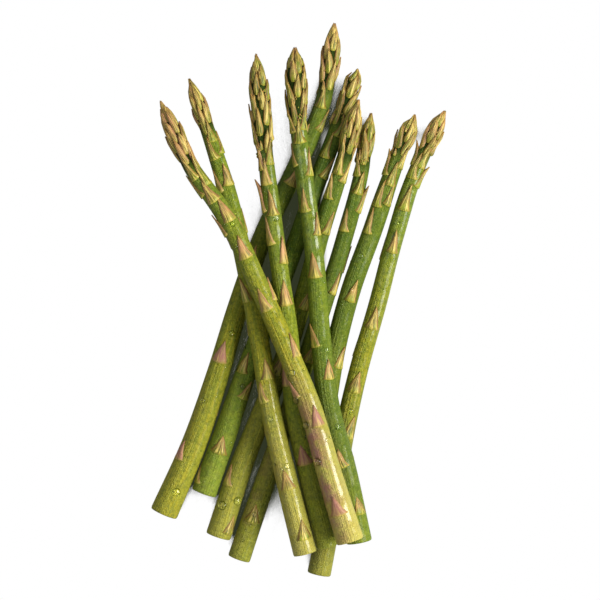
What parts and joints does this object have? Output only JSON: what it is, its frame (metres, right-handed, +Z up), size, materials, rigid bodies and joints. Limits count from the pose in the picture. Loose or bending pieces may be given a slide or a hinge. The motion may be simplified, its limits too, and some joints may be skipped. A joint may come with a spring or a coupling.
{
  "type": "bundle of asparagus",
  "caption": "Loose bunch of fresh green asparagus spears lying across one another, with pointed leaf scales on the stems and close scaly buds at the tips.",
  "frame": {"origin": "centre of the bunch's bounding box, on the surface that it lies on", "axes": "+Y from the cut ends towards the tips, +Z up from the surface, +X to the right seen from above"},
  "size_m": [0.1354, 0.2524, 0.0341],
  "materials": {
    "stem": "smooth waxy green stem, yellower on the sunlit side",
    "scale_leaf": "thin dry leaf scale, tan to mauve with a green foot",
    "cut_end": "pale cut plant flesh",
    "water": "clear water drops on the stems"
  },
  "bodies": {
    "root": {"spear_a": "stem", "spear_b": "stem", "spear_c": "stem", "spear_d": "stem", "spear_e": "stem", "spear_f": "stem", "spear_g": "stem", "spear_h": "stem", "spear_i": "stem", "spear_j": "stem"}
  },
  "joints": []
}
